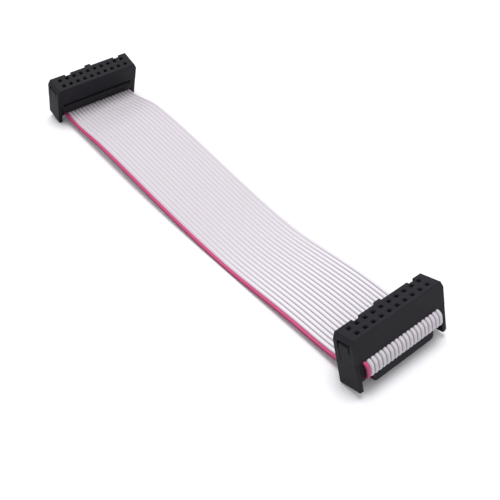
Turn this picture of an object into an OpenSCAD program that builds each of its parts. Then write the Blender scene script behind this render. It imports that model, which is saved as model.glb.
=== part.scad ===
// Flat ribbon cable with an insulation-displacement socket crimped on each end.
// X runs across the cable, Y along it, Z up. The origin is on the surface that the
// assembly lies on, midway between the two sockets.

/* [Ribbon] */
// Number of wires in the ribbon, two for each column of contacts
ways = 20; // [10:2:26]
// Distance from one wire to the next
wire_pitch = 1.27; // [1.2:0.01:1.4]
// Diameter of the insulation round each wire, which is the ribbon's thickness
wire_od = 0.9; // [0.8:0.02:1.0]
// Width of the rib over each wire
rib_w = 1.0; // [0.8:0.02:1.1]
// Thickness of the web that joins neighbouring wires
web_t = 0.34; // [0.2:0.02:0.4]
// Diameter of each wire's core, which a contact's fork grips
core_d = 0.38; // [0.3:0.02:0.46]
// Distance between the edges that the two sockets rest on
span = 135; // [60:1:400]
// Angle at which each socket leans in over the ribbon
lean = 18; // [12:1:24]
// Largest radius at which the ribbon levels out after it leaves a socket
level_r = 40; // [20:1:60]
// Radius of the ribbon's folds over a cover, to the middle of its thickness
fold_r = 1.4; // [1.3:0.05:1.6]
// Distance that the fold stands proud of the socket's outer face
fold_proud = 1.25; // [0.9:0.05:1.4]
// Distance from the cable side of a socket to the ribbon's cut end
cut_recess = 1.2; // [0.3:0.05:1.4]

/* [Body] */
// Thickness of a socket across its two rows of contacts
body_t = 6.2; // [6.0:0.05:6.8]
// Height of the body above the ribbon's grooves
body_h = 7; // [6.8:0.05:9]
// Length of solid body beyond the last column of contacts, at each end
end_block = 2.1; // [2.0:0.05:3]
// Distance from one row of contacts to the other
row_pitch = 2.54; // [2.4:0.02:2.7]
// Length of the bevel on the top edge of each end
end_bevel_x = 0.8; // [0.4:0.05:0.9]
// Height of the bevel on the top edge of each end
end_bevel_z = 1.8; // [1:0.1:2.4]
// Radius of the body's long top edges
edge_r = 0.3; // [0.1:0.05:0.5]
// Side of each square pin hole
hole_w = 0.85; // [0.75:0.05:1.0]
// Side of each pin hole's lead-in at the top face
lead_in_w = 1.3; // [1.2:0.05:1.6]
// Depth of the lead-in
lead_in_h = 0.4; // [0.2:0.05:0.8]
// Thickness of the top wall over the contact cavities
top_wall = 1.1; // [0.9:0.05:1.4]
// Width of the polarising key
key_w = 2.0; // [1.6:0.1:4.4]
// Distance that the key stands out from the side
key_out = 0.85; // [0.5:0.05:1.2]
// Height of the key
key_h = 6; // [4:0.1:6.5]
// Width of the two slots in the key side
slot_w = 2.1; // [1.6:0.1:2.4]
// Depth of the two slots
slot_d = 0.85; // [0.5:0.05:0.9]
// Height of the two slots
slot_h = 3.0; // [2:0.1:5]
// Distance from the middle to the slot beside the first contacts
slot_low_x = 7.85; // [5:0.05:9]
// Distance from the middle to the slot beside the last contacts
slot_high_x = 10.25; // [5:0.05:11]

/* [Cover] */
// Height of the cover between the ribbon's two runs
cover_h = 3.1; // [2.9:0.05:3.6]
// Distance from the ribbon's mid-plane to the ridges that locate its wires
nest_gap = 0.22; // [0.21:0.01:0.26]
// Distance that the cover's bevelled nose stands out over the ribbon's way in
nose = 0.6; // [0.2:0.05:0.8]
// Thickness of the ears at the ends of the cover
ear_t = 0.5; // [0.4:0.05:0.55]
// Width of the ears' snap arms
ear_arm_w = 2.4; // [1.6:0.1:3]
// Height of the snap arms above the ears
ear_arm_h = 2.8; // [2:0.1:3]

/* [Clip] */
// Height from the clip's feet to the ribbon's lower run
clip_h = 2.7; // [2.4:0.05:3]
// Thickness of the clip's plate under the ribbon
plate_t = 1.0; // [0.8:0.05:1.3]
// Width of the plate where it meets the legs
plate_w = 4.4; // [3.4:0.1:5]
// Height of the feet's soles below the lips
lip_lift = 0.35; // [0.2:0.05:0.6]
// Radius of the lips' lower corners
lip_r = 1.2; // [0.6:0.1:1.4]
// Length between the end of a lip and the leg beside it
lip_gap = 3.3; // [2:0.1:3.8]
// Thickness of each leg
leg_t = 1.3; // [1.1:0.05:1.4]
// Width of the latch arm that rises from each leg
latch_w = 3.0; // [2.2:0.1:3.6]
// Height of the latch arm above the leg
latch_h = 5; // [4.8:0.1:5.2]
// Thickness of the latch arm
latch_t = 0.75; // [0.6:0.05:0.8]
// Height of the latch's inner hook
hook_h = 1.2; // [0.8:0.1:1.5]
// Distance that the hook stands in from the arm
hook_in = 0.35; // [0.25:0.05:0.4]
// Width of the open window beside each hook
window_side = 0.4; // [0.2:0.05:0.6]
// Height of the open window above each latch arm
window_top = 0.6; // [0.3:0.05:0.7]

/* [Contacts] */
// Thickness of the strip that the contacts are stamped from
strip_t = 0.3; // [0.2:0.02:0.36]
// Width of each spring beam
beam_w = 0.34; // [0.28:0.02:0.4]
// Gap between the spring beams where they grip a pin
grip_gap = 0.52; // [0.46:0.02:0.6]
// Width of each tine of the fork
tine_w = 0.3; // [0.24:0.02:0.32]
// Depth that the fork reaches below the conductor's centre
fork_reach = 1.1; // [0.8:0.05:1.3]

/* [Fits] */
// Clearance round the clip, the cover and their latches
fit_gap = 0.1; // [0.05:0.01:0.15]
// Clearance round a contact in the body and the cover
contact_gap = 0.04; // [0.02:0.01:0.06]
// Clearance between the ribbon and the pieces that hold it
wire_gap = 0.01; // [0.005:0.005:0.02]

/* [Hidden] */
$fn = 48;
eps = 0.01;
FOLD_STEPS = 5;
LEVEL_STEPS = 3;
columns = ways / 2;
pin_pitch = 2 * wire_pitch;
wire_r = wire_od / 2;
half_t = body_t / 2;
half_len = columns * pin_pitch / 2 + end_block;

// Heights in a socket, from the soles of its feet
lower_z = clip_h + wire_gap + wire_r;
cover_z0 = lower_z + wire_r + wire_gap;
cover_z1 = cover_z0 + cover_h;
upper_z = cover_z1 + wire_gap + wire_r;
ridge_z = upper_z - nest_gap;
body_z0 = upper_z + nest_gap;
socket_h = body_z0 + body_h;

// The ribbon's fold, measured from the middle of the socket towards the fold side
fold_y = half_t + fold_proud - wire_r;
turn_y = fold_y - fold_r;
cut_y = -half_t + cut_recess;

// The stretch from a socket down to the surface
drop = lower_z * cos(lean) - wire_r;
bend_r = min(level_r, 0.95 * drop / (1 - cos(lean)));
lead = (drop - bend_r * (1 - cos(lean))) / sin(lean);
flat_y = span / 2 - lower_z * sin(lean) - lead * cos(lean) - bend_r * sin(lean);

// The contacts and the cavities that hold them
cavity_w = 1.7;
cavity_t = 1.1;
shoulder_z = body_z0 + 0.6;
shoulder_h = 1.1;
beam_root_z = shoulder_z + shoulder_h + 0.9;
beam_tip_z = socket_h - top_wall - 0.15;
base_w = cavity_w - 2 * contact_gap;
root_gap = base_w - 2 * beam_w - 0.16;
fork_slot_w = core_d + 2 * wire_gap;
fork_w = fork_slot_w + 2 * tine_w;
fork_tip_z = upper_z - fork_reach;
fork_mouth = fork_w - 0.2;

// The ends: the cover's ears lie inside the clip's legs
leg_x1 = half_len - 0.05;
leg_x0 = leg_x1 - leg_t;
ear_x1 = leg_x0 - fit_gap;
ear_x0 = ear_x1 - ear_t;
leg_top = body_z0 - fit_gap;
latch_top = leg_top + latch_h;
hook_z0 = latch_top - hook_h - 0.3;
pocket_x = leg_x1 - latch_t - fit_gap;
lip_x = leg_x0 - lip_gap;

SIDES = ["a", "b"];
function contact_name(side, n) = str("socket_", side, "_contact_", n < 10 ? "0" : "", n);

function wire_x(n) = (n - (ways + 1) / 2) * wire_pitch;
// Odd wires meet the row on the key side, even wires the other row.
function row_y(n) = (n % 2 == 1 ? 1 : -1) * row_pitch / 2;
// A contact's pin is half a wire pitch from the wire that its fork holds.
function jog(n) = (n % 2 == 1 ? 1 : -1) * wire_pitch / 2;

// Socket a stands at the low end of the cable and socket b at the high end. Both
// lean in over the ribbon and keep their key side towards +Y.
module at_socket(side) {
    end = side == "a" ? -1 : 1;
    translate([0, end * span / 2, 0])
        rotate([end * lean, 0, 0])
            translate([0, end * half_t, 0])
                children();
}

// Turns what is modelled with the cable on the -Y side to suit each socket.
module to_cable(side) {
    mirror([0, side == "a" ? 1 : 0, 0]) children();
}

// ---- ribbon -----------------------------------------------------------------
// A station is [y, z, heading] on the cable's centre line. The heading is the angle
// from +Y, and turns towards +Z.

// Stations round an arc whose centre is on the left of the route.
function arc(y, z, r, a0, a1, steps) = [
    for (i = [0:steps])
        let (a = a0 + (a1 - a0) * i / steps)
            [y + r * sin(a), z - r * cos(a), a]
];

// A station in socket b, moved to where the socket stands.
function placed(s) = [
    span / 2 + (s[0] + half_t) * cos(lean) - s[1] * sin(lean),
    (s[0] + half_t) * sin(lean) + s[1] * cos(lean),
    s[2] + lean
];

// Through the clip, round the cover and back to the cut end, or past it where the
// route belongs to a tool that cuts.
function end_stations(past) = concat(
    arc(turn_y, lower_z + fold_r, fold_r, 0, 90, FOLD_STEPS),
    arc(turn_y, upper_z - fold_r, fold_r, 90, 180, FOLD_STEPS),
    [[cut_y - past, upper_z, 180]]
);

function half_stations(past) = concat(
    arc(flat_y, wire_r + bend_r, bend_r, 0, lean, LEVEL_STEPS),
    [for (s = end_stations(past)) placed(s)]
);

// The whole route, from the cut end in socket a to the cut end in socket b.
function stations(past = 0) =
    let (half = half_stations(past))
        concat([for (i = [len(half) - 1:-1:0]) [-half[i][0], half[i][1], -half[i][2]]], half);

// The line that runs beside the route, at distance d on its left.
function rail(d, past) = [
    for (s = stations(past)) [s[0] - d * sin(s[2]), s[1] + d * cos(s[2])]
];

function backwards(list) = [for (i = [len(list) - 1:-1:0]) list[i]];

// A strip along the route between the rails at d0 and d1, with the given width in X.
module strip(width, d0, d1, past = 0) {
    along_x(width) polygon(concat(rail(d0, past), backwards(rail(d1, past))));
}

// The wires' cores, or their bores where a gap is left round them.
module cores(gap = 0, past = 0) {
    for (n = [1:ways])
        translate([wire_x(n), 0, 0])
            strip(core_d + 2 * gap, -core_d / 2 - gap, core_d / 2 + gap, past);
}

module conductors() {
    color([0.78, 0.52, 0.36]) cores();
}

// The space that a contact's two tines take up, on either side of the wire's core.
module tine_cuts(gap, z0, z1) {
    for (n = [1:ways])
        for (e = [-1, 1])
            translate([wire_x(n) + e * (fork_w - tine_w) / 2, row_y(n), (z0 + z1) / 2])
                cube([tine_w + 2 * gap, strip_t + 2 * gap, z1 - z0], center = true);
}

module ribbon() {
    color([0.93, 0.92, 0.94])
        difference() {
            strip((ways - 1) * wire_pitch + rib_w, -wire_r, wire_r);
            for (n = [1:ways - 1])
                for (e = [-1, 1])
                    translate([wire_x(n) + wire_pitch / 2, 0, 0])
                        strip(wire_pitch - rib_w, e * web_t / 2, e * wire_od, 1);
            cores(wire_gap, 1);
            for (s = SIDES)
                at_socket(s) tine_cuts(wire_gap, upper_z - wire_od, upper_z + wire_od);
        }
}

// ---- body -------------------------------------------------------------------

// Grooves that locate the ribs of the upper run.
module wire_grooves() {
    for (n = [1:ways])
        translate([wire_x(n), 0, upper_z])
            cube([rib_w + 2 * wire_gap, body_t + 2, wire_od + 2 * wire_gap], center = true);
}

module body_end_outline() {
    polygon([
        [-half_len, body_z0],
        [half_len, body_z0],
        [half_len, socket_h - end_bevel_z],
        [half_len - end_bevel_x, socket_h],
        [-half_len + end_bevel_x, socket_h],
        [-half_len, socket_h - end_bevel_z]
    ]);
}

module body_side_outline() {
    translate([-half_t, body_z0]) square([body_t, body_h - edge_r]);
    translate([-half_t + edge_r, body_z0]) square([body_t - 2 * edge_r, body_h]);
    for (e = [-1, 1])
        translate([e * (half_t - edge_r), socket_h - edge_r]) circle(r = edge_r);
}

// A prism that spans the given length in X, from an outline in Y and Z.
module along_x(len) {
    rotate([90, 0, 90]) linear_extrude(len, center = true) children();
}

// A prism that spans the given length in Y, from an outline in X and Z.
module along_y(len) {
    rotate([90, 0, 0]) linear_extrude(len, center = true) children();
}

module funnel_outline() {
    polygon([
        [-hole_w / 2, -lead_in_h],
        [hole_w / 2, -lead_in_h],
        [lead_in_w / 2, 0],
        [lead_in_w / 2, eps],
        [-lead_in_w / 2, eps],
        [-lead_in_w / 2, 0]
    ]);
}

module lead_in() {
    intersection() {
        along_x(lead_in_w + 1) funnel_outline();
        along_y(lead_in_w + 1) funnel_outline();
    }
}

// The hole, funnel, cavity and shoulder slot for contact n.
module contact_cavity(n) {
    cavity_z1 = socket_h - top_wall;
    pin_x = wire_x(n) + jog(n);
    translate([pin_x, row_y(n), 0]) {
        translate([0, 0, socket_h]) lead_in();
        translate([-hole_w / 2, -hole_w / 2, cavity_z1 - eps])
            cube([hole_w, hole_w, top_wall]);
        translate([-cavity_w / 2, -cavity_t / 2, shoulder_z])
            cube([cavity_w, cavity_t, cavity_z1 - shoulder_z]);
    }
}

// The slots that the contacts' forks and shoulders pass through.
module fork_slots(z0, z1) {
    for (n = [1:ways])
        translate([wire_x(n), row_y(n), (z0 + z1) / 2])
            cube([fork_w + 2 * contact_gap, strip_t + 2 * contact_gap, z1 - z0], center = true);
}

module polarising_key() {
    translate([-key_w / 2, half_t - eps, socket_h - key_h])
        cube([key_w, key_out + eps, key_h - edge_r]);
}

module side_slots() {
    for (x = [-slot_low_x, slot_high_x])
        translate([x - slot_w / 2, half_t - slot_d, socket_h - slot_h])
            cube([slot_w, slot_d + 1, slot_h + 1]);
}

// The recess for the clip's latch arm, with the window that its hook snaps into.
module latch_recess() {
    w = latch_w + 2 * fit_gap;
    window_w = latch_w + 2 * window_side;
    window_z0 = hook_z0 - fit_gap;
    translate([pocket_x, -w / 2, body_z0 - 1])
        cube([latch_t + 2, w, window_z0 - body_z0 + 2]);
    translate([pocket_x - hook_in - fit_gap, -window_w / 2, window_z0])
        cube([hook_in + latch_t + 2, window_w, latch_top + window_top - window_z0]);
}

// The slot for the cover's snap arm.
module ear_slot() {
    translate([ear_x0 - fit_gap, -ear_arm_w / 2 - fit_gap, body_z0 - 1])
        cube([ear_t + 2 * fit_gap, ear_arm_w + 2 * fit_gap, ear_arm_h + 1 + fit_gap]);
}

module body() {
    color([0.19, 0.18, 0.2])
        difference() {
            union() {
                intersection() {
                    along_y(body_t + 2) body_end_outline();
                    along_x(2 * half_len + 2) body_side_outline();
                }
                polarising_key();
            }
            wire_grooves();
            for (n = [1:ways])
                contact_cavity(n);
            fork_slots(body_z0 - 1, shoulder_z + shoulder_h + contact_gap);
            side_slots();
            for (m = [0, 1])
                mirror([m, 0, 0]) {
                    latch_recess();
                    ear_slot();
                }
        }
}

// ---- cover ------------------------------------------------------------------

// The cover's section, with the ribbon folded round its +Y side. The corners are
// small enough for the chords that the fold is made of.
module cover_section() {
    inner_r = (fold_r - wire_r) * cos(45 / FOLD_STEPS) - wire_gap;
    inner_y = turn_y + inner_r;
    polygon([
        [turn_y, cover_z0],
        [-half_t, cover_z0],
        [-half_t - nose, cover_z0 + nose],
        [-half_t - nose, cover_z1 - nose],
        [-half_t, cover_z1],
        [turn_y, cover_z1]
    ]);
    translate([-half_t, cover_z0 + inner_r]) square([half_t + inner_y, cover_h - 2 * inner_r]);
    for (z = [lower_z + fold_r, upper_z - fold_r])
        translate([turn_y, z]) circle(r = inner_r);
}

// The ridges stand between the wires of the upper run, short of the fold.
module ridge_slab() {
    translate([-ear_x0 - eps, -half_t, cover_z1 - eps])
        cube([2 * (ear_x0 + eps), half_t + turn_y, ridge_z - cover_z1 + eps]);
}

module cover_ear() {
    translate([ear_x0, -half_t, cover_z0])
        cube([ear_t, body_t, body_z0 - cover_z0]);
    translate([ear_x0, -ear_arm_w / 2, body_z0 - eps])
        cube([ear_t, ear_arm_w, ear_arm_h]);
}

module cover(side) {
    color([0.2, 0.19, 0.21])
        difference() {
            to_cable(side) {
                along_x(2 * (ear_x0 + eps)) cover_section();
                ridge_slab();
                for (m = [0, 1])
                    mirror([m, 0, 0]) cover_ear();
            }
            wire_grooves();
            fork_slots(fork_tip_z - fit_gap, body_z0);
        }
}

// ---- clip -------------------------------------------------------------------

// The lips' lower corners are round, and their top lies level with the plate's.
module lip_outline() {
    intersection() {
        union() {
            translate([-lip_x, lip_lift + lip_r]) square([2 * lip_x, clip_h]);
            translate([-lip_x + lip_r, lip_lift]) square([2 * (lip_x - lip_r), clip_h]);
            for (e = [-1, 1])
                translate([e * (lip_x - lip_r), lip_lift + lip_r]) circle(r = lip_r);
        }
        translate([-leg_x0, 0]) square([2 * leg_x0, clip_h]);
    }
}

// The leg's foot stands on the surface. Its sole is chamfered at the outer corner.
module leg_outline() {
    chamfer = 0.3;
    polygon([
        [leg_x0, 0],
        [leg_x1 - chamfer, 0],
        [leg_x1, chamfer],
        [leg_x1, leg_top],
        [leg_x0, leg_top]
    ]);
}

module latch_outline() {
    x0 = leg_x1 - latch_t;
    tip = 0.35;
    polygon([
        [x0, leg_top - 1],
        [leg_x1, leg_top - 1],
        [leg_x1, latch_top - tip],
        [leg_x1 - tip, latch_top],
        [x0, latch_top],
        [x0 - hook_in, hook_z0 + hook_h / 2],
        [x0 - hook_in, hook_z0],
        [x0, hook_z0]
    ]);
}

module clip() {
    color([0.18, 0.17, 0.19]) {
        translate([-leg_x0 - eps, -plate_w / 2, clip_h - plate_t])
            cube([2 * (leg_x0 + eps), plate_w, plate_t]);
        along_y(body_t) lip_outline();
        for (m = [0, 1])
            mirror([m, 0, 0]) {
                along_y(body_t) leg_outline();
                along_y(latch_w) latch_outline();
            }
    }
}

// ---- contacts ---------------------------------------------------------------

// The fork and the shoulder over it, drawn about the wire's centre line.
module fork_outline() {
    difference() {
        translate([-fork_w / 2, fork_tip_z])
            square([fork_w, shoulder_z + shoulder_h - fork_tip_z]);
        translate([-fork_slot_w / 2, fork_tip_z - 1])
            square([fork_slot_w, upper_z + wire_r - fork_tip_z + 1]);
        polygon([
            [-fork_mouth / 2, fork_tip_z - eps],
            [fork_mouth / 2, fork_tip_z - eps],
            [0, fork_tip_z + fork_mouth / 2]
        ]);
    }
}

// The base and the two spring beams that grip a pin, drawn about its centre line.
module spring_outline() {
    base_z = shoulder_z + contact_gap;
    base_top = beam_root_z - 0.3;
    grip_z = beam_tip_z - 0.5;
    grip_x = grip_gap / 2;
    root_x = root_gap / 2;
    right = [
        [base_w / 2, base_z],
        [base_w / 2, base_top],
        [root_x + beam_w, base_top],
        [root_x + beam_w, beam_root_z],
        [grip_x + beam_w, grip_z],
        [grip_x + beam_w, beam_tip_z],
        [grip_x + beam_w / 2, beam_tip_z],
        [grip_x, grip_z],
        [root_x, beam_root_z],
        [root_x, base_top]
    ];
    left = [for (i = [len(right) - 1:-1:0]) [-right[i][0], right[i][1]]];
    polygon(concat(right, left));
}

module contact_outline(n) {
    fork_outline();
    translate([jog(n), 0]) spring_outline();
}

module contact(n) {
    color([0.85, 0.72, 0.42])
        translate([wire_x(n), row_y(n), 0])
            along_y(strip_t) contact_outline(n);
}

// ---- the assembly -------------------------------------------------------------

ribbon();
conductors();
for (s = SIDES) {
    at_socket(s) body();
    at_socket(s) cover(s);
    at_socket(s) clip();
    for (n = [1:ways])
        at_socket(s) contact(n);
}
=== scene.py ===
"""Looks of a flat ribbon cable that has a black socket crimped on each end.

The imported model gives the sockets. This file dresses them, builds the ribbed
ribbon that runs between them, and sets the floor, the lights and the camera.
"""

import logging
import math
from collections.abc import Mapping, Sequence
from dataclasses import dataclass, field, replace
from enum import Enum

import bpy
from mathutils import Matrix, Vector


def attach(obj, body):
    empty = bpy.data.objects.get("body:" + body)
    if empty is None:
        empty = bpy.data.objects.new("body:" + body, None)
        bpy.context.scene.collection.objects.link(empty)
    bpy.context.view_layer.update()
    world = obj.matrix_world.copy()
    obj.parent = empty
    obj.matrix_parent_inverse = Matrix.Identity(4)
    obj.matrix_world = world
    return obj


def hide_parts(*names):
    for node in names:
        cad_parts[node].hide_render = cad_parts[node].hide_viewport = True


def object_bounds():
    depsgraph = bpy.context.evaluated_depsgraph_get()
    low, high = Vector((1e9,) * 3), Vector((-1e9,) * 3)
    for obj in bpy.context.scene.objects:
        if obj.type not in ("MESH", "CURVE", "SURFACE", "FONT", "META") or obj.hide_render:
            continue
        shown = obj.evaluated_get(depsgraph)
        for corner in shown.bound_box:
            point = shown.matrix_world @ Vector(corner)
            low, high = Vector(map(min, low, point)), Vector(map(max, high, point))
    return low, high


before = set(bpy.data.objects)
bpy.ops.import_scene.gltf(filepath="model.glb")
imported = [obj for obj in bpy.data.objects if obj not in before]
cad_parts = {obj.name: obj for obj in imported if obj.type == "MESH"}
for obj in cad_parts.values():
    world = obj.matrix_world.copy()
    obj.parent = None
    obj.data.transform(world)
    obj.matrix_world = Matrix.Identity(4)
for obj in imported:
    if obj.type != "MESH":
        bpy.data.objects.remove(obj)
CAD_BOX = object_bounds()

MM = 0.001
BODY = "root"
WIRE_COUNT = "wire_count"

log = logging.getLogger("ribbon_cable")

Colour = tuple[float, float, float]


class Side(Enum):
    """The two sockets, by the name that their nodes carry."""

    A = "a"
    B = "b"


# ---- shader writing -----------------------------------------------------------


class Signal:
    """A shader socket that takes part in Python expressions."""

    def __init__(self, shader: "Shader", socket: bpy.types.NodeSocket) -> None:
        """Wraps one output socket of the shader's node tree."""
        self.shader = shader
        self.socket = socket

    def _math(self, operation: str, *operands: "Signal | float") -> "Signal":
        """Adds a Math node that works on the operands.

        Args:
            operation: The node's operation.
            operands: Signals or numbers, in the order of the node's sockets.

        Returns:
            The node's result.
        """
        values = dict(enumerate(operands))
        return self.shader.node("ShaderNodeMath", {"operation": operation}, values)

    def __add__(self, other: "Signal | float") -> "Signal":
        """self + other."""
        return self._math("ADD", self, other)

    def __radd__(self, other: float) -> "Signal":
        """other + self."""
        return self._math("ADD", other, self)

    def __sub__(self, other: "Signal | float") -> "Signal":
        """self - other."""
        return self._math("SUBTRACT", self, other)

    def __rsub__(self, other: float) -> "Signal":
        """other - self."""
        return self._math("SUBTRACT", other, self)

    def __mul__(self, other: "Signal | float") -> "Signal":
        """self * other."""
        return self._math("MULTIPLY", self, other)

    def __rmul__(self, other: float) -> "Signal":
        """other * self."""
        return self._math("MULTIPLY", other, self)

    def __lt__(self, other: "Signal | float") -> "Signal":
        """1 where self is less than other, and 0 elsewhere."""
        return self._math("LESS_THAN", self, other)

    def __abs__(self) -> "Signal":
        """The size of the value without its sign."""
        return self._math("ABSOLUTE", self)

    def fraction(self) -> "Signal":
        """The part of the value after the decimal point."""
        return self._math("FRACT", self)


class Shader:
    """A material in the making, with one principled surface."""

    def __init__(self, name: str) -> None:
        """Starts an empty material that has a surface and an output.

        Args:
            name: The material's name.
        """
        self.material = bpy.data.materials.new(name)
        self.material.use_nodes = True
        self.tree = self.material.node_tree
        self.tree.nodes.clear()
        self.surface = self.tree.nodes.new("ShaderNodeBsdfPrincipled")
        output = self.tree.nodes.new("ShaderNodeOutputMaterial")
        self.tree.links.new(self.surface.outputs["BSDF"], output.inputs["Surface"])

    def _feed(self, socket: bpy.types.NodeSocket, value: object) -> None:
        """Links a signal to a socket, or sets the socket's own value.

        Args:
            socket: The socket that takes the value.
            value: A signal, or a number, vector or colour.
        """
        if isinstance(value, Signal):
            self.tree.links.new(value.socket, socket)
        else:
            socket.default_value = value

    def node(
        self,
        kind: str,
        settings: Mapping[str, object] | None = None,
        values: Mapping[str | int, object] | None = None,
        output: str | int = 0,
    ) -> Signal:
        """Adds one node.

        Args:
            kind: The node's type.
            settings: The node's own settings, which are set first.
            values: Numbers or signals for its sockets, by name or place.
            output: The output that is wanted.

        Returns:
            The chosen output.
        """
        made = self.tree.nodes.new(kind)
        for name, setting in (settings or {}).items():
            setattr(made, name, setting)
        for name, value in (values or {}).items():
            self._feed(made.inputs[name], value)
        return Signal(self, made.outputs[output])

    def place(self, stretch: Sequence[float] = (1, 1, 1)) -> Signal:
        """The point on the piece, in metres, with each axis scaled by stretch."""
        point = self.node("ShaderNodeTexCoord", output="Object")
        return self.node(
            "ShaderNodeVectorMath", {"operation": "MULTIPLY"}, {0: point, 1: stretch}
        )

    def count(self, name: str) -> Signal:
        """The number that each vertex of the piece carries under that name."""
        return self.node("ShaderNodeAttribute", {"attribute_name": name}, output="Fac")

    def noise(self, point: Signal, size: float, detail: float = 3) -> Signal:
        """Soft noise from 0 to 1.

        Args:
            point: Where to read the noise.
            size: The size of its patches, in metres.
            detail: How many finer layers it has.

        Returns:
            The noise's value.
        """
        return self.node(
            "ShaderNodeTexNoise", values={"Vector": point, "Scale": 1 / size, "Detail": detail}
        )

    def ramp(self, value: Signal, low: float, high: float) -> Signal:
        """A smooth step.

        Args:
            value: The signal to follow.
            low: Where the step is 0.
            high: Where the step is 1.

        Returns:
            The step's value.
        """
        return self.node(
            "ShaderNodeMapRange",
            {"interpolation_type": "SMOOTHSTEP"},
            {"Value": value, "From Min": low, "From Max": high},
        )

    def blend(self, factor: Signal, first: object, second: object) -> Signal:
        """A colour that goes from first to second as factor goes from 0 to 1."""
        values = {"Factor": factor, 6: first, 7: second}
        return self.node("ShaderNodeMix", {"data_type": "RGBA"}, values, output=2)

    def relief(self, height: Signal, depth: float) -> Signal:
        """A normal for a surface whose relief is depth metres deep."""
        values = {"Height": height, "Distance": depth, "Strength": 1.0}
        return self.node("ShaderNodeBump", values=values)

    def finish(self, specular: float = 0.5, **values: object) -> bpy.types.Material:
        """Feeds the surface and returns the material.

        Args:
            specular: The strength of the mirror-like share, 0.5 for most materials.
            values: Numbers or signals for the surface's sockets, with _ for a space.

        Returns:
            The finished material.
        """
        self.surface.inputs["Specular IOR Level"].default_value = specular
        for name, value in values.items():
            self._feed(self.surface.inputs[name.replace("_", " ").title()], value)
        return self.material


def opaque(colour: Colour) -> tuple[float, float, float, float]:
    """The colour with a full alpha."""
    return (*colour, 1.0)


# ---- finishes -----------------------------------------------------------------


@dataclass(frozen=True)
class MouldedPlastic:
    """Satin black plastic from a spark-finished mould."""

    name: str
    colour: Colour
    pale: Colour
    roughness: float = 0.56
    specular: float = 0.16
    cloud_size: float = 4 * MM
    rub_size: float = 1.4 * MM
    rub_range: tuple[float, float] = (0.55, 0.8)
    rub_shine: float = 0.1
    grain_size: float = 0.09 * MM
    grain_depth: float = 0.006 * MM
    grain_dulling: float = 0.12

    def material(self) -> bpy.types.Material:
        """Makes the plastic: fine grain, a cloudy tone and patches of shine.

        Returns:
            The material.
        """
        shader = Shader(self.name)
        point = shader.place()
        cloud = shader.noise(point, self.cloud_size)
        grain = shader.noise(point, self.grain_size, 2)
        rubbed = shader.ramp(shader.noise(point, self.rub_size, 5), *self.rub_range)
        tone = shader.blend(cloud, opaque(self.colour), opaque(self.pale))
        return shader.finish(
            specular=self.specular,
            base_color=tone,
            roughness=self.roughness + self.grain_dulling * grain - self.rub_shine * rubbed,
            normal=shader.relief(grain, self.grain_depth),
        )


class Moulding(Enum):
    """A socket's three mouldings, by the part of the name that their nodes carry."""

    BODY = "body"
    COVER = "cover"
    CLIP = "clip"

    def finish(self) -> MouldedPlastic:
        """Picks the black of this moulding, which differs a little from the others.

        Returns:
            The finish.
        """
        colour, pale = {
            Moulding.BODY: ((0.007, 0.0065, 0.009), (0.011, 0.0105, 0.014)),
            Moulding.COVER: ((0.008, 0.0075, 0.009), (0.013, 0.012, 0.014)),
            Moulding.CLIP: ((0.006, 0.0055, 0.008), (0.01, 0.0095, 0.013)),
        }[self]
        return MouldedPlastic(f"{self.value}_plastic", colour, pale)


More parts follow.
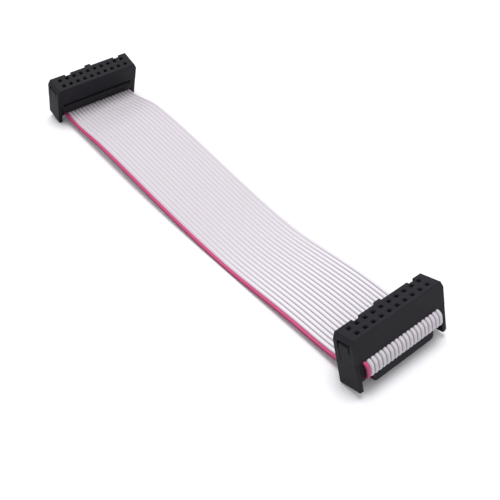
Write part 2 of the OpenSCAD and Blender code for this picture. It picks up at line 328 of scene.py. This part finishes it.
@dataclass(frozen=True)
class RibbonVinyl:
    """Soft extruded vinyl: lilac white wires, the first of them crimson."""

    name: str = "ribbon_vinyl"
    colour: Colour = (0.515, 0.48, 0.52)
    warm: Colour = (0.495, 0.465, 0.495)
    # painted light: the brighter tone laid on the ribbon towards socket a
    painted_bright: Colour = (0.645, 0.615, 0.655)
    # painted shade: the dark tone laid into the grooves between the wires
    painted_groove_shade: Colour = (0.12, 0.11, 0.125)
    crimson: Colour = (0.5, 0.04, 0.155)
    crimson_deep: Colour = (0.36, 0.025, 0.11)
    # painted shade: the dark crimson on the marked wire's outer flank
    crimson_flank_shade: Colour = (0.16, 0.01, 0.05)
    roughness: float = 0.42
    draw_stretch: tuple[float, float, float] = (1, 0.02, 0.3)
    draw_size: float = 0.12 * MM
    draw_depth: float = 0.008 * MM
    draw_dulling: float = 0.16
    mottle_size: float = 6 * MM
    # where the painted brightening grows from nothing to full, towards socket a
    painted_bright_y: tuple[float, float] = (0.0, -52 * MM)
    fold_a_y: tuple[float, float] = (-62 * MM, -67 * MM)
    fold_b_y: tuple[float, float] = (58 * MM, 68 * MM)
    # share of the painted brightening taken off the fold in socket a, which leaves painted shade on
    # that fold
    fold_a_painted_shade: float = 0.9
    # the painted groove shade: its strength towards socket a and at the fold by socket b, and how
    # far from each groove it reaches
    groove_shade_a: float = 0.8
    groove_shade_b: float = 0.6
    groove_shade_reach: tuple[float, float] = (0.2, 0.06)
    # where the painted flank shade starts and where it is full, in wire counts
    flank_shade_count: tuple[float, float] = (-0.16, -0.38)

    def white(self, shader: Shader, point: Signal, wire: Signal) -> Signal:
        """The colour of the white wires and of the grooves between them, with painted shade in the
        grooves and a painted brightening towards socket a.

        Args:
            shader: The material in the making.
            point: The point on the ribbon, in metres.
            wire: The wire count at that point, a whole number along each wire's middle.

        Returns:
            The colour.
        """
        along = shader.node("ShaderNodeSeparateXYZ", values={0: point}, output=1)
        mottle = shader.noise(point, self.mottle_size, 4)
        to_groove = abs(wire.fraction() - 0.5)
        painted_groove_shade = shader.ramp(to_groove, *self.groove_shade_reach)
        toward_a = shader.ramp(along, *self.painted_bright_y)
        at_fold_a = shader.ramp(along, *self.fold_a_y)
        at_fold_b = shader.ramp(along, *self.fold_b_y)
        # painted groove shade, strongest towards socket a and by socket b, where that socket's shade
        # falls
        groove_shade_strength = self.groove_shade_a * toward_a + self.groove_shade_b * at_fold_b
        mottled_tone = shader.blend(mottle, opaque(self.colour), opaque(self.warm))
        # painted brightening towards socket a, taken off the fold in socket a as painted shade
        painted_brightening = toward_a - self.fold_a_painted_shade * at_fold_a
        rib = shader.blend(painted_brightening, mottled_tone, opaque(self.painted_bright))
        # lays the painted groove shade over the wires
        return shader.blend(painted_groove_shade * groove_shade_strength, rib, opaque(self.painted_groove_shade))

    def red(self, shader: Shader, draw: Signal, wire: Signal) -> Signal:
        """The colour of the marked wire, with painted shade darkening its outer flank.

        Args:
            shader: The material in the making.
            draw: The draw lines' strength.
            wire: The wire count, which is 0 along the marked wire's middle.

        Returns:
            The colour.
        """
        drawn = shader.blend(draw, opaque(self.crimson), opaque(self.crimson_deep))
        # painted shade on the outer flank of the marked wire
        flank_shade = shader.ramp(wire, *self.flank_shade_count)
        return shader.blend(flank_shade, drawn, opaque(self.crimson_flank_shade))

    def material(self) -> bpy.types.Material:
        """Makes the vinyl: draw lines along the wires, painted shade in the grooves, a painted
        brightening towards socket a, and a marked wire whose outer flank has painted shade.

        Returns:
            The material.
        """
        shader = Shader(self.name)
        wire = shader.count(WIRE_COUNT)
        draw = shader.noise(shader.place(self.draw_stretch), self.draw_size, 3)
        white = self.white(shader, shader.place(), wire)
        return shader.finish(
            base_color=shader.blend(wire < 0.5, white, self.red(shader, draw, wire)),
            roughness=self.roughness + self.draw_dulling * draw,
            normal=shader.relief(draw, self.draw_depth),
        )


@dataclass(frozen=True)
class PlatedSpring:
    """Thin gold-coloured plating on a stamped spring."""

    name: str = "plated_spring"
    colour: Colour = (0.83, 0.67, 0.36)
    dull: Colour = (0.55, 0.45, 0.28)
    roughness: float = 0.24
    patch_size: float = 0.5 * MM
    patch_range: tuple[float, float] = (0.4, 0.7)
    patch_dulling: float = 0.2

    def material(self) -> bpy.types.Material:
        """Makes the plating: bright, with duller and rougher patches.

        Returns:
            The material.
        """
        shader = Shader(self.name)
        patch = shader.ramp(shader.noise(shader.place(), self.patch_size, 4), *self.patch_range)
        return shader.finish(
            base_color=shader.blend(patch, opaque(self.colour), opaque(self.dull)),
            metallic=1.0,
            roughness=self.roughness + self.patch_dulling * patch,
        )


@dataclass(frozen=True)
class TinnedStrand:
    """Fine copper wire under a thin coat of tin."""

    name: str = "tinned_strand"
    tin: Colour = (0.66, 0.64, 0.62)
    copper: Colour = (0.72, 0.42, 0.26)
    roughness: float = 0.38
    spot_size: float = 0.08 * MM
    spot_range: tuple[float, float] = (0.5, 0.62)
    spot_dulling: float = 0.1

    def material(self) -> bpy.types.Material:
        """Makes the wire: dull tin that lets the copper through in spots.

        Returns:
            The material.
        """
        shader = Shader(self.name)
        mottled_tone = shader.ramp(shader.noise(shader.place(), self.spot_size, 3), *self.spot_range)
        return shader.finish(
            base_color=shader.blend(mottled_tone, opaque(self.tin), opaque(self.copper)),
            metallic=1.0,
            roughness=self.roughness + self.spot_dulling * mottled_tone,
        )


@dataclass(frozen=True)
class StudioPaper:
    """The seamless pale paper under the cable."""

    name: str = "studio_paper"
    colour: Colour = (0.77, 0.77, 0.78)
    shade: Colour = (0.745, 0.745, 0.76)
    roughness: float = 0.9
    cloud_size: float = 80 * MM

    def material(self) -> bpy.types.Material:
        """Makes the paper: nearly even, with a faint cloudiness.

        Returns:
            The material.
        """
        shader = Shader(self.name)
        cloud = shader.noise(shader.place(), self.cloud_size, 2)
        return shader.finish(
            base_color=shader.blend(cloud, opaque(self.colour), opaque(self.shade)),
            roughness=self.roughness,
        )


# ---- meshes -------------------------------------------------------------------


def mesh_object(
    name: str, points: Sequence[Vector], faces: Sequence[Sequence[int]], smooth: bool
) -> bpy.types.Object:
    """Makes a mesh object at the origin and links it to the scene.

    Args:
        name: The object's name.
        points: Its vertices, in metres.
        faces: Its faces, as indices of vertices.
        smooth: Whether its faces shade smoothly.

    Returns:
        The new object.
    """
    mesh = bpy.data.meshes.new(name)
    mesh.from_pydata([tuple(p) for p in points], [], faces)
    mesh.validate()
    mesh.polygons.foreach_set("use_smooth", [smooth] * len(mesh.polygons))
    piece = bpy.data.objects.new(name, mesh)
    bpy.context.scene.collection.objects.link(piece)
    return piece


# ---- the ribbon ---------------------------------------------------------------


@dataclass(frozen=True)
class Station:
    """A place on the ribbon's centre line, and its heading up from +Y."""

    y: float
    z: float
    heading: float

    def offset(self, x: float, up: float) -> Vector:
        """The point x across the ribbon and up along its own normal."""
        return Vector(
            (x, self.y - up * math.sin(self.heading), self.z + up * math.cos(self.heading))
        )


@dataclass(frozen=True)
class Swell:
    """A stretch where one edge of the springy ribbon stands clear of the floor.

    It rises from start_y, where ease sets how softly, to its crest, and falls
    again to end_y, where fullness sets how softly.
    """

    start_y: float
    crest_y: float
    end_y: float
    height: float
    fullness: float = 1.25
    ease: float = 1.6

    def rise(self, y: float) -> float:
        """How far the edge is lifted.

        Args:
            y: The place along the cable.

        Returns:
            The lift in metres, 0 beyond both feet.
        """
        rising = (y - self.crest_y) * (self.start_y - self.crest_y) > 0
        foot, power = (self.start_y, self.ease) if rising else (self.end_y, self.fullness)
        share = (y - foot) / (self.crest_y - foot)
        return self.height * math.sin(share * math.pi / 2) ** power if share > 0 else 0.0


@dataclass(frozen=True)
class Lie:
    """How the ribbon lies between the sockets: lifted towards both, bowed sideways."""

    half_width: float = 12.565 * MM
    hold_y: float = 66.5 * MM
    bow: float = -1.2 * MM
    left: tuple[Swell, ...] = (
        Swell(-23 * MM, 42 * MM, 66.5 * MM, 2.2 * MM, 1.0),
        Swell(-22 * MM, -52 * MM, -66.5 * MM, 1.05 * MM),
    )
    right: tuple[Swell, ...] = (
        Swell(-23 * MM, 46 * MM, 66.5 * MM, 5.5 * MM),
        Swell(-22 * MM, -52 * MM, -66.5 * MM, 2.1 * MM),
    )

    def shift(self, x: float, y: float) -> Vector:
        """How far a point of the ribbon is moved from the plain route.

        Args:
            x: The point's place across the ribbon.
            y: The point's place along the cable.

        Returns:
            The move, which is nothing inside the sockets.
        """
        if abs(y) >= self.hold_y:
            return Vector((0, 0, 0))
        across = (x / self.half_width + 1) / 2
        left = sum(swell.rise(y) for swell in self.left)
        right = sum(swell.rise(y) for swell in self.right)
        sideways = self.bow * (1 - (y / self.hold_y) ** 2) ** 2
        return Vector((sideways, 0, left + (right - left) * across))


@dataclass(frozen=True)
class Route:
    """The ribbon's way from its cut end in socket a to its cut end in socket b."""

    lie: Lie = field(default_factory=Lie)
    span: float = 135 * MM
    lean: float = math.radians(18)
    socket_half: float = 3.1 * MM
    wire_r: float = 0.45 * MM
    level_r: float = 40 * MM
    fold_r: float = 1.4 * MM
    turn_y: float = 2.5 * MM
    lower_z: float = 3.16 * MM
    upper_z: float = 7.18 * MM
    cut_y: float = -1.9 * MM
    level_steps: int = 10
    fold_steps: int = 10
    run_steps: int = 5
    flat_steps: int = 40

    def flat_y(self) -> float:
        """The place where the ribbon leaves the floor on its way to socket b.

        Returns:
            The place along the cable.
        """
        drop = self.lower_z * math.cos(self.lean) - self.wire_r
        lead = (drop - self.level_r * (1 - math.cos(self.lean))) / math.sin(self.lean)
        level = lead * math.cos(self.lean) + self.level_r * math.sin(self.lean)
        return self.span / 2 - self.lower_z * math.sin(self.lean) - level

    @staticmethod
    def arc(y: float, z: float, r: float, turn: tuple[float, float], steps: int) -> list[Station]:
        """Stations round an arc whose centre is on the left of the route.

        Args:
            y: The centre's place along the cable.
            z: The centre's height.
            r: The arc's radius.
            turn: Its first and last heading.
            steps: How many chords it has.

        Returns:
            The stations, first to last.
        """
        found = []
        for i in range(steps + 1):
            a = turn[0] + (turn[1] - turn[0]) * i / steps
            found.append(Station(y + r * math.sin(a), z - r * math.cos(a), a))
        return found

    def placed(self, s: Station) -> Station:
        """Moves a station to where the leaning socket b stands.

        Args:
            s: The station in the upright socket, from the middle of its foot.

        Returns:
            The station in the scene.
        """
        c, k = math.cos(self.lean), math.sin(self.lean)
        y = s.y + self.socket_half
        return Station(self.span / 2 + y * c - s.z * k, y * k + s.z * c, s.heading + self.lean)

    def line(self, start: Station, end: Station, steps: int) -> list[Station]:
        """Divides a straight stretch.

        Args:
            start: The stretch's first station.
            end: Its last station.
            steps: How many pieces it has.

        Returns:
            The stations strictly between start and end.
        """
        return [
            Station(
                start.y + (end.y - start.y) * i / steps,
                start.z + (end.z - start.z) * i / steps,
                end.heading,
            )
            for i in range(1, steps)
        ]

    def half(self) -> list[Station]:
        """Follows the ribbon from where it leaves the floor to the end in socket b.

        Returns:
            The stations, the first on the floor and the last at the cut end.
        """
        quarter = math.pi / 2
        level = self.arc(
            self.flat_y(), self.wire_r + self.level_r, self.level_r, (0, self.lean), self.level_steps
        )
        low = self.arc(
            self.turn_y, self.lower_z + self.fold_r, self.fold_r, (0, quarter), self.fold_steps
        )
        high = self.arc(
            self.turn_y, self.upper_z - self.fold_r, self.fold_r, (quarter, math.pi), self.fold_steps
        )
        end = Station(self.cut_y, self.upper_z, math.pi)
        inside = [self.placed(s) for s in low + high]
        last = self.placed(end)
        return [
            *level,
            *self.line(level[-1], inside[0], self.run_steps),
            *inside,
            *self.line(inside[-1], last, self.run_steps),
            last,
        ]

    def stations(self) -> list[Station]:
        """Follows the whole ribbon.

        Returns:
            The stations from the cut end in socket a to the one in socket b.
        """
        far = self.half()
        near = [Station(-s.y, s.z, -s.heading) for s in reversed(far)]
        return [*near, *self.line(near[-1], far[0], self.flat_steps), *far]

    def point(self, s: Station, x: float, up: float) -> Vector:
        """The place of the point x across and up, as the ribbon lies."""
        plain = s.offset(x, up)
        return plain + self.lie.shift(x, plain.y)

    def centre_line(self) -> list[Vector]:
        """The ribbon's centre line, in a few dozen points."""
        coarse = replace(self, level_steps=2, fold_steps=3, run_steps=1, flat_steps=14)
        return [coarse.point(s, 0, 0) for s in coarse.stations()]

    def length(self) -> float:
        """The length of the centre line."""
        line = [self.point(s, 0, 0) for s in self.stations()]
        return sum((b - a).length for a, b in zip(line, line[1:]))

    def exit(self) -> Vector:
        """Finds where the ribbon leaves socket a.

        Returns:
            The point on the socket's cable side.
        """
        inner = Station(-self.socket_half, self.lower_z, 0)
        s = self.placed(inner)
        return Vector((0, -s.y, s.z))


@dataclass
class Ribbon:
    """The extruded ribbon of twenty wires that share one web."""

    route: Route = field(default_factory=Route)
    ways: int = 20
    pitch: float = 1.27 * MM
    rib_half: float = 0.5 * MM
    web_half: float = 0.15 * MM
    rib_steps: int = 11
    sharpness: float = 4.0

    def height(self, x: float) -> float:
        """How high the ribbed surface stands over the ribbon's mid-plane.

        Args:
            x: The distance from the nearest wire's middle.

        Returns:
            The height, a soft union of the rib and the web.
        """
        r = self.route.wire_r
        bare = r * math.sqrt(max(0.0, 1 - (x / self.rib_half) ** 2))
        joined = (bare**self.sharpness + self.web_half**self.sharpness) ** (1 / self.sharpness)
        top = (r**self.sharpness + self.web_half**self.sharpness) ** (1 / self.sharpness)
        return joined * r / top

    def profile(self) -> list[tuple[float, float]]:
        """Draws the upper outline of the ribbon's section.

        Returns:
            The outline from edge to edge, as (x, height) pairs.
        """
        outline: list[tuple[float, float]] = []
        for wire in range(self.ways):
            middle = (wire - (self.ways - 1) / 2) * self.pitch
            for i in range(1, self.rib_steps + 1):
                x = -self.rib_half * math.cos(math.pi * i / (self.rib_steps + 1))
                outer = (wire == 0 and x < 0) or (wire == self.ways - 1 and x > 0)
                bare = self.route.wire_r * math.sqrt(1 - (x / self.rib_half) ** 2)
                outline.append((middle + x, bare if outer else self.height(x)))
            if wire < self.ways - 1:
                outline.append((middle + self.pitch / 2, self.height(self.pitch / 2)))
        return outline

    def build(self) -> bpy.types.Object:
        """Sweeps the profile along the route and closes both cut ends.

        Returns:
            The ribbon as one closed mesh.
        """
        upper = self.profile()
        edge = self.pitch * (self.ways - 1) / 2 + self.rib_half
        ring = [(-edge, 0.0), *upper, (edge, 0.0), *[(x, -h) for x, h in reversed(upper)]]
        stations = self.route.stations()
        points = [self.route.point(s, x, h) for s in stations for x, h in ring]
        around, count = len(ring), len(upper)
        faces: list[tuple[int, ...]] = []
        for row in range(len(stations) - 1):
            for i in range(around):
                a, b = row * around + i, row * around + (i + 1) % around
                faces.append((a, b, b + around, a + around))
        for base, turned in ((0, True), ((len(stations) - 1) * around, False)):
            cap = [(0, 1, around - 1), (count, count + 1, count + 2)]
            cap += [(i, i + 1, around - i - 1, around - i) for i in range(1, count)]
            for face in cap:
                indices = [base + i for i in face]
                faces.append(tuple(reversed(indices)) if turned else tuple(indices))
        piece = mesh_object("ribbed_ribbon", points, faces, smooth=True)
        counts = [x / self.pitch + (self.ways - 1) / 2 for x, _ in ring] * len(stations)
        carried = piece.data.attributes.new(WIRE_COUNT, "FLOAT", "POINT")
        carried.data.foreach_set("value", counts)
        return piece

    def make(self, cores: bpy.types.Object) -> bpy.types.Object:
        """Args:
            cores: The stranded cores that run in the wires. Not used.

        Returns:
            The ribbon.
        """
        piece = self.build()
        piece.data.materials.append(RibbonVinyl().material())
        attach(piece, BODY)
        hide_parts("ribbon")
        self.route.exit()
        self.route.length()
        (self.ways - 1) * self.pitch + 2 * self.rib_half
        self.route.centre_line()
        return piece


@dataclass
class Conductors:
    """The stranded cores inside the wires, bare at both cut ends."""

    route: Route
    ways: int
    pitch: float
    strand_r: float = 0.063 * MM
    outer_strands: int = 6
    crest_reach: float = 3.0
    dip_reach: float = 2.45
    proud: float = 0.03 * MM

    def section(self) -> list[tuple[float, float]]:
        """Draws the outline of one bundle: six strands round a seventh.

        Returns:
            The outline as (x, height) pairs.
        """
        outline = []
        for i in range(2 * self.outer_strands):
            reach = self.strand_r * (self.crest_reach if i % 2 == 0 else self.dip_reach)
            turn = math.pi * i / self.outer_strands
            outline.append((reach * math.cos(turn), reach * math.sin(turn)))
        return outline

    def stations(self) -> list[Station]:
        """Follows the ribbon, with both ends drawn out past its cut ends.

        Returns:
            The stations of the bundles.
        """
        found = self.route.stations()
        for i, outward in ((0, -1), (len(found) - 1, 1)):
            s = found[i]
            along = outward * self.proud
            found[i] = Station(
                s.y + along * math.cos(s.heading), s.z + along * math.sin(s.heading), s.heading
            )
        return found

    def build(self) -> bpy.types.Object:
        """Sweeps one bundle for each wire and caps its ends.

        Returns:
            The bundles as one mesh.
        """
        outline, stations = self.section(), self.stations()
        around, rows = len(outline), len(stations)
        points: list[Vector] = []
        faces: list[tuple[int, ...]] = []
        for wire in range(self.ways):
            base = len(points)
            middle = (wire - (self.ways - 1) / 2) * self.pitch
            points += [self.route.point(s, middle + x, up) for s in stations for x, up in outline]
            for row in range(rows - 1):
                for i in range(around):
                    a = base + row * around + i
                    b = base + row * around + (i + 1) % around
                    faces.append((a, a + around, b + around, b))
            for row, turned in ((0, False), (rows - 1, True)):
                hub = len(points)
                points.append(self.route.point(stations[row], middle, 0.0))
                for i in range(around):
                    a = base + row * around + i
                    b = base + row * around + (i + 1) % around
                    faces.append((hub, b, a) if turned else (hub, a, b))
        return mesh_object("stranded_cores", points, faces, smooth=False)

    def make(self) -> bpy.types.Object:
        """Returns:
            The cores.
        """
        piece = self.build()
        piece.data.materials.append(TinnedStrand().material())
        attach(piece, BODY)
        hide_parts("conductors")
        return piece


# ---- the sockets --------------------------------------------------------------


@dataclass
class Socket:
    """One crimped socket: a body, a cover, a clip and its contacts."""

    side: Side
    ways: int = 20
    edge_break: float = 0.07 * MM
    edge_angle: float = math.radians(35)
    weld_reach: float = 0.002 * MM
    flat_weight: int = 100

    def node(self, part: str) -> bpy.types.Object:
        """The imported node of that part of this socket."""
        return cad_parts[f"socket_{self.side.value}_{part}"]

    def soften(self, piece: bpy.types.Object) -> None:
        """Rounds the moulded edges with modifiers, which leave the mesh alone.

        Args:
            piece: The moulded piece.
        """
        weld = piece.modifiers.new("weld", "WELD")
        weld.merge_threshold = self.weld_reach
        bevel = piece.modifiers.new("edge_break", "BEVEL")
        bevel.width = self.edge_break
        bevel.segments = 2
        bevel.limit_method = "ANGLE"
        bevel.angle_limit = self.edge_angle
        bevel.use_clamp_overlap = False
        even = piece.modifiers.new("even_shading", "WEIGHTED_NORMAL")
        even.weight = self.flat_weight

    def dress(self, plastics: Mapping[str, bpy.types.Material], metal: bpy.types.Material) -> int:
        """Gives every node of the socket its finish.

        Args:
            plastics: The plastic of the body, the cover and the clip, by part.
            metal: The contacts' plating.

        Returns:
            How many nodes were dressed.
        """
        for part, plastic in plastics.items():
            piece = self.node(part)
            piece.material_slots[0].material = plastic
            self.soften(piece)
        for n in range(1, self.ways + 1):
            self.node(f"contact_{n:02d}").material_slots[0].material = metal
        return len(plastics) + self.ways


# ---- the studio ---------------------------------------------------------------


@dataclass(frozen=True)
class Softbox:
    """A square lamp that hangs off the cable's middle and points at it."""

    name: str
    place: tuple[float, float, float]
    size: float
    power: float
    colour: Colour = (1.0, 1.0, 1.0)

    def make(self) -> bpy.types.Object:
        """Hangs the lamp.

        Returns:
            The lamp.
        """
        lamp = bpy.data.lights.new(self.name, "AREA")
        lamp.shape = "SQUARE"
        lamp.size = self.size
        lamp.energy = self.power
        lamp.color = self.colour
        piece = bpy.data.objects.new(self.name, lamp)
        piece.location = self.place
        piece.rotation_mode = "QUATERNION"
        piece.rotation_quaternion = (-Vector(self.place)).to_track_quat("-Z", "Y")
        bpy.context.scene.collection.objects.link(piece)
        return piece


@dataclass(frozen=True)
class Studio:
    """The camera, the paper floor and the soft light."""

    target: tuple[float, float, float] = (-3.454 * MM, -20.678 * MM, 0.0)
    distance: float = 191.12 * MM
    azimuth: float = math.radians(38.91)
    elevation: float = math.radians(43.96)
    lens: float = 50.4
    sensor: float = 36.0
    clip: tuple[float, float] = (5 * MM, 20.0)
    floor_half: float = 3.0
    floor_gap: float = 0.005 * MM
    key: Softbox = Softbox("key_softbox", (0.04, 0.04, 0.5), 0.25, 2.0)
    sky: Colour = (1.0, 0.99, 1.02)
    sky_strength: float = 0.85

    def make_camera(self) -> bpy.types.Object:
        """Sets up the scene's camera.

        Returns:
            The camera.
        """
        level = math.cos(self.elevation)
        back = Vector(
            (
                -math.sin(self.azimuth) * level,
                -math.cos(self.azimuth) * level,
                math.sin(self.elevation),
            )
        )
        data = bpy.data.cameras.new("camera")
        data.lens = self.lens
        data.sensor_width = self.sensor
        data.clip_start, data.clip_end = self.clip
        camera = bpy.data.objects.new("camera", data)
        camera.location = Vector(self.target) + back * self.distance
        camera.rotation_mode = "QUATERNION"
        camera.rotation_quaternion = (-back).to_track_quat("-Z", "Y")
        bpy.context.scene.collection.objects.link(camera)
        bpy.context.scene.camera = camera
        return camera

    def make_floor(self) -> bpy.types.Object:
        """Lays the paper under the cable.

        Returns:
            The floor.
        """
        h, z = self.floor_half, CAD_BOX[0].z - self.floor_gap
        corners = [Vector((x * h, y * h, z)) for x, y in ((-1, -1), (1, -1), (1, 1), (-1, 1))]
        floor = mesh_object("studio_floor", corners, [(0, 1, 2, 3)], smooth=False)
        floor.data.materials.append(StudioPaper().material())
        return floor

    def make_light(self) -> bpy.types.Object:
        """Lights the sky and hangs the key lamp.

        Returns:
            The lamp.
        """
        world = bpy.data.worlds.new("studio_sky")
        world.use_nodes = True
        background = world.node_tree.nodes["Background"]
        background.inputs["Color"].default_value = opaque(self.sky)
        background.inputs["Strength"].default_value = self.sky_strength
        bpy.context.scene.world = world
        bpy.context.scene.view_settings.view_transform = "Standard"
        return self.key.make()


# ---- the whole ----------------------------------------------------------------


def main() -> None:
    """Builds the scene in order and reports each piece."""
    logging.basicConfig(level=logging.INFO, format="%(name)s: %(message)s")
    studio = Studio()
    camera = studio.make_camera()
    log.info("camera at %s", [round(v, 4) for v in camera.location])
    ribbon = Ribbon()
    cores = Conductors(ribbon.route, ribbon.ways, ribbon.pitch).make()
    log.info("%s: %d faces", cores.name, len(cores.data.polygons))
    piece = ribbon.make(cores)
    log.info("%s: %d faces, %.1f mm long", piece.name, len(piece.data.polygons),
             ribbon.route.length() / MM)
    plastics = {moulding.value: moulding.finish().material() for moulding in Moulding}
    metal = PlatedSpring().material()
    for side in Side:
        count = Socket(side).dress(plastics, metal)
        log.info("socket %s: %d nodes dressed", side.value, count)
    log.info("floor: %s", studio.make_floor().name)
    log.info("lamp: %s", studio.make_light().name)


if __name__ == "__main__":
    main()
